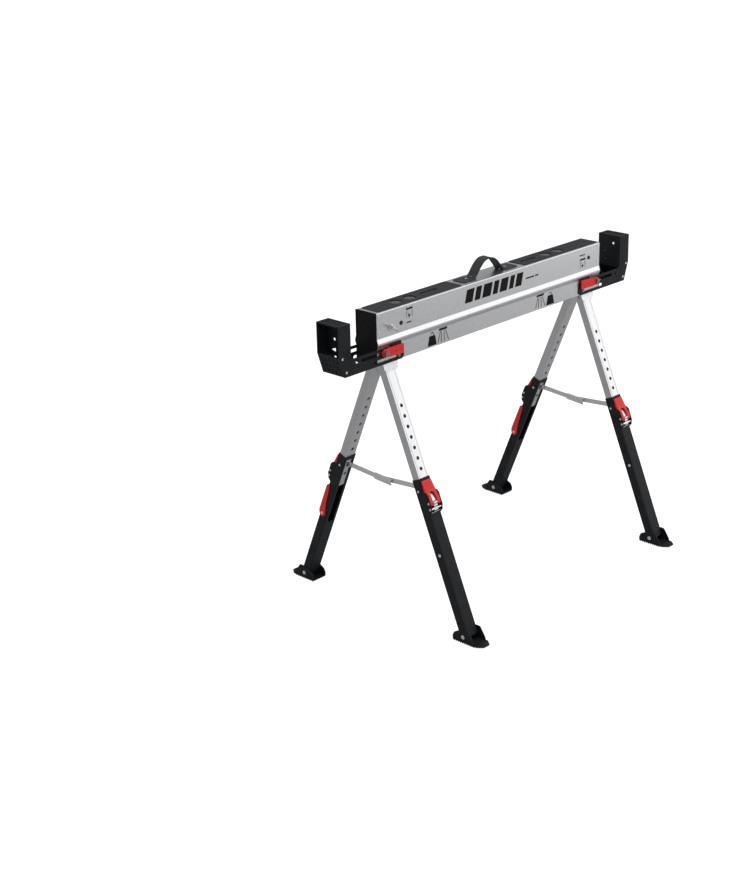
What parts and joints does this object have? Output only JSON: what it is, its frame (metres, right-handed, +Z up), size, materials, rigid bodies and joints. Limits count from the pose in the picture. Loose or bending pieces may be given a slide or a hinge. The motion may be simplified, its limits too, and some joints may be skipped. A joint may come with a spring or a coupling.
{
  "type": "folding sawhorse",
  "caption": "Folding sawhorse with a pressed steel beam, sliding end supports and splayed telescopic legs with swivel feet.",
  "frame": {"origin": "floor level, midway between the four feet and under the middle of the beam", "axes": "+X along the beam, +Y to the back, +Z up"},
  "size_m": [1.166, 0.69, 0.8648],
  "materials": {
    "beam_steel": "galvanised sheet, lightly brushed along its length",
    "silver_tube": "zinc plated tube, satin",
    "zinc_casting": "pale cast zinc, fine grain",
    "galvanised": "galvanised sheet",
    "bright_steel": "plated fasteners",
    "chrome_plate": "polished",
    "dark_fastener": "blackened",
    "black_coated": "satin powder coat",
    "foot_black": "satin powder coat, scuffed on the sole",
    "grey_moulding": "moulded, fine texture",
    "dark_insert": "moulded, matte",
    "handle_strap": "flexible strap, matte",
    "black_rubber": "ribbed rubber",
    "red_plastic": "moulded, semi gloss"
  },
  "bodies": {
    "beam": {"beam_shell": "beam_steel", "end_cap_rivets": "bright_steel", "carry_handle": "handle_strap", "strap_rivets": "bright_steel", "clamp_rods": "dark_fastener", "guide_pins": "dark_fastener", "fold_pins": "bright_steel", "end_cap_left": "grey_moulding", "top_insert_left": "dark_insert", "hinge_mount_left": "galvanised", "end_cap_right": "grey_moulding", "top_insert_right": "dark_insert", "hinge_mount_right": "galvanised"},
    "wing_bolt": {"wing_bolt": "chrome_plate"},
    "left_support": {"support_frame_left": "black_coated", "support_pad_left": "black_rubber", "tread_plate_left": "black_coated", "support_rivets_left": "bright_steel"},
    "left_clamp_lever": {"clamp_lever_left": "red_plastic"},
    "left_button": {"push_button_left": "black_coated"},
    "left_fold": {"hinge_yoke_left": "galvanised", "splay_pins_left": "bright_steel"},
    "left_front_leg": {"leg_head_front_left": "zinc_casting", "inner_tube_front_left": "silver_tube"},
    "left_front_lower": {"outer_tube_front_left": "black_coated", "leg_pins_front_left": "bright_steel"},
    "left_front_latch": {"latch_lever_front_left": "red_plastic"},
    "left_front_foot": {"foot_front_left": "foot_black"},
    "left_rear_leg": {"leg_head_rear_left": "zinc_casting", "inner_tube_rear_left": "silver_tube"},
    "left_rear_lower": {"outer_tube_rear_left": "black_coated", "leg_pins_rear_left": "bright_steel"},
    "left_rear_latch": {"latch_lever_rear_left": "red_plastic"},
    "left_rear_foot": {"foot_rear_left": "foot_black"},
    "left_stow_hook": {"stow_hook_left": "red_plastic"},
    "left_rear_spreader": {"spreader_rear_left": "galvanised"},
    "left_front_spreader": {"spreader_front_left": "galvanised"},
    "right_support": {"support_frame_right": "black_coated", "support_pad_right": "black_rubber", "tread_plate_right": "black_coated", "support_rivets_right": "bright_steel"},
    "right_clamp_lever": {"clamp_lever_right": "red_plastic"},
    "right_button": {"push_button_right": "black_coated"},
    "right_fold": {"hinge_yoke_right": "galvanised", "splay_pins_right": "bright_steel"},
    "right_front_leg": {"leg_head_front_right": "zinc_casting", "inner_tube_front_right": "silver_tube"},
    "right_front_lower": {"outer_tube_front_right": "black_coated", "leg_pins_front_right": "bright_steel"},
    "right_front_latch": {"latch_lever_front_right": "red_plastic"},
    "right_front_foot": {"foot_front_right": "foot_black"},
    "right_rear_leg": {"leg_head_rear_right": "zinc_casting", "inner_tube_rear_right": "silver_tube"},
    "right_rear_lower": {"outer_tube_rear_right": "black_coated", "leg_pins_rear_right": "bright_steel"},
    "right_rear_latch": {"latch_lever_rear_right": "red_plastic"},
    "right_rear_foot": {"foot_rear_right": "foot_black"},
    "right_stow_hook": {"stow_hook_right": "red_plastic"},
    "right_rear_spreader": {"spreader_rear_right": "galvanised"},
    "right_front_spreader": {"spreader_front_right": "galvanised"}
  },
  "joints": [
    {"name": "wing_bolt_turn", "type": "hinge", "parent": "beam", "child": "wing_bolt", "pos_m": [-0.399, -0.045, 0.775], "axis": [0, -1, 0], "continuous": true},
    {"name": "left_support_slide", "type": "slide", "parent": "beam", "child": "left_support", "axis": [-1, 0, 0], "range_m": [-0.075, 0]},
    {"name": "left_clamp_turn", "type": "hinge", "parent": "beam", "child": "left_clamp_lever", "pos_m": [-0.4275, -0.0423, 0.7155], "axis": [0, -1, 0], "range_deg": [0, 28]},
    {"name": "left_button_press", "type": "slide", "parent": "beam", "child": "left_button", "axis": [0, 1, 0], "range_m": [0, 0.004], "stiffness_N_per_m": 400, "springref_m": -0.0005},
    {"name": "left_fold", "type": "hinge", "parent": "beam", "child": "left_fold", "pos_m": [-0.371, 0, 0.6345], "axis": [0, -1, 0], "range_deg": [0, 90]},
    {"name": "left_front_splay", "type": "hinge", "parent": "left_fold", "child": "left_front_leg", "pos_m": [-0.4, -0.014, 0.6781], "axis": [1, 0, 0], "range_deg": [0, 20]},
    {"name": "left_front_height", "type": "slide", "parent": "left_front_leg", "child": "left_front_lower", "axis": [0, 0.382, 0.9241], "range_m": [0, 0.19]},
    {"name": "left_front_latch_turn", "type": "hinge", "parent": "left_front_lower", "child": "left_front_latch", "pos_m": [-0.4, -0.1737, 0.34807], "axis": [1, 0, 0], "range_deg": [0, 50], "stiffness_Nm_per_rad": 0.3, "springref_deg": -11.46},
    {"name": "left_front_foot_turn", "type": "hinge", "parent": "left_front_lower", "child": "left_front_foot", "pos_m": [-0.4, -0.28701, 0.0177], "axis": [-1, 0, 0], "range_deg": [-15, 25]},
    {"name": "left_rear_splay", "type": "hinge", "parent": "left_fold", "child": "left_rear_leg", "pos_m": [-0.4, 0.014, 0.6781], "axis": [-1, 0, 0], "range_deg": [0, 20]},
    {"name": "left_rear_height", "type": "slide", "parent": "left_rear_leg", "child": "left_rear_lower", "axis": [0, -0.382, 0.9241], "range_m": [0, 0.19]},
    {"name": "left_rear_latch_turn", "type": "hinge", "parent": "left_rear_lower", "child": "left_rear_latch", "pos_m": [-0.4, 0.1737, 0.34807], "axis": [-1, 0, 0], "range_deg": [0, 50], "stiffness_Nm_per_rad": 0.3, "springref_deg": -11.46},
    {"name": "left_rear_foot_turn", "type": "hinge", "parent": "left_rear_lower", "child": "left_rear_foot", "pos_m": [-0.4, 0.28701, 0.0177], "axis": [1, 0, 0], "range_deg": [-15, 25]},
    {"name": "left_stow_turn", "type": "hinge", "parent": "left_rear_lower", "child": "left_stow_hook", "pos_m": [-0.4, 0.20872, 0.21755], "axis": [-1, 0, 0], "range_deg": [0, 35]},
    {"name": "left_rear_spread", "type": "hinge", "parent": "left_rear_leg", "child": "left_rear_spreader", "pos_m": [-0.4, 0.11854, 0.37288], "axis": [1, 0, 0], "range_deg": [0, 102]},
    {"name": "left_front_spread", "type": "hinge", "parent": "left_front_leg", "child": "left_front_spreader", "pos_m": [-0.4, -0.11854, 0.37288], "axis": [-1, 0, 0], "range_deg": [0, 102]},
    {"name": "right_support_slide", "type": "slide", "parent": "beam", "child": "right_support", "axis": [1, 0, 0], "range_m": [-0.075, 0]},
    {"name": "right_clamp_turn", "type": "hinge", "parent": "beam", "child": "right_clamp_lever", "pos_m": [0.4275, -0.0423, 0.7155], "axis": [0, 1, 0], "range_deg": [0, 28]},
    {"name": "right_button_press", "type": "slide", "parent": "beam", "child": "right_button", "axis": [0, 1, 0], "range_m": [0, 0.004], "stiffness_N_per_m": 400, "springref_m": -0.0005},
    {"name": "right_fold", "type": "hinge", "parent": "beam", "child": "right_fold", "pos_m": [0.368, 0, 0.686], "axis": [0, 1, 0], "range_deg": [0, 90]},
    {"name": "right_front_splay", "type": "hinge", "parent": "right_fold", "child": "right_front_leg", "pos_m": [0.4, -0.014, 0.6781], "axis": [1, 0, 0], "range_deg": [0, 20]},
    {"name": "right_front_height", "type": "slide", "parent": "right_front_leg", "child": "right_front_lower", "axis": [0, 0.382, 0.9241], "range_m": [0, 0.19]},
    {"name": "right_front_latch_turn", "type": "hinge", "parent": "right_front_lower", "child": "right_front_latch", "pos_m": [0.4, -0.1737, 0.34807], "axis": [1, 0, 0], "range_deg": [0, 50], "stiffness_Nm_per_rad": 0.3, "springref_deg": -11.46},
    {"name": "right_front_foot_turn", "type": "hinge", "parent": "right_front_lower", "child": "right_front_foot", "pos_m": [0.4, -0.28701, 0.0177], "axis": [-1, 0, 0], "range_deg": [-15, 25]},
    {"name": "right_rear_splay", "type": "hinge", "parent": "right_fold", "child": "right_rear_leg", "pos_m": [0.4, 0.014, 0.6781], "axis": [-1, 0, 0], "range_deg": [0, 20]},
    {"name": "right_rear_height", "type": "slide", "parent": "right_rear_leg", "child": "right_rear_lower", "axis": [0, -0.382, 0.9241], "range_m": [0, 0.19]},
    {"name": "right_rear_latch_turn", "type": "hinge", "parent": "right_rear_lower", "child": "right_rear_latch", "pos_m": [0.4, 0.1737, 0.34807], "axis": [-1, 0, 0], "range_deg": [0, 50], "stiffness_Nm_per_rad": 0.3, "springref_deg": -11.46},
    {"name": "right_rear_foot_turn", "type": "hinge", "parent": "right_rear_lower", "child": "right_rear_foot", "pos_m": [0.4, 0.28701, 0.0177], "axis": [1, 0, 0], "range_deg": [-15, 25]},
    {"name": "right_stow_turn", "type": "hinge", "parent": "right_rear_lower", "child": "right_stow_hook", "pos_m": [0.4, 0.20872, 0.21755], "axis": [-1, 0, 0], "range_deg": [0, 35]},
    {"name": "right_rear_spread", "type": "hinge", "parent": "right_rear_leg", "child": "right_rear_spreader", "pos_m": [0.4, 0.11854, 0.37288], "axis": [1, 0, 0], "range_deg": [0, 102]},
    {"name": "right_front_spread", "type": "hinge", "parent": "right_front_leg", "child": "right_front_spreader", "pos_m": [0.4, -0.11854, 0.37288], "axis": [-1, 0, 0], "range_deg": [0, 102]}
  ],
  "couplings": [
    {"joint": "left_rear_splay", "follows": "left_front_splay", "ratio": 1},
    {"joint": "left_rear_spread", "follows": "left_front_splay", "ratio": 5.095},
    {"joint": "left_front_spread", "follows": "left_front_splay", "ratio": 5.095},
    {"joint": "right_rear_splay", "follows": "right_front_splay", "ratio": 1},
    {"joint": "right_rear_spread", "follows": "right_front_splay", "ratio": 5.095},
    {"joint": "right_front_spread", "follows": "right_front_splay", "ratio": 5.095}
  ]
}
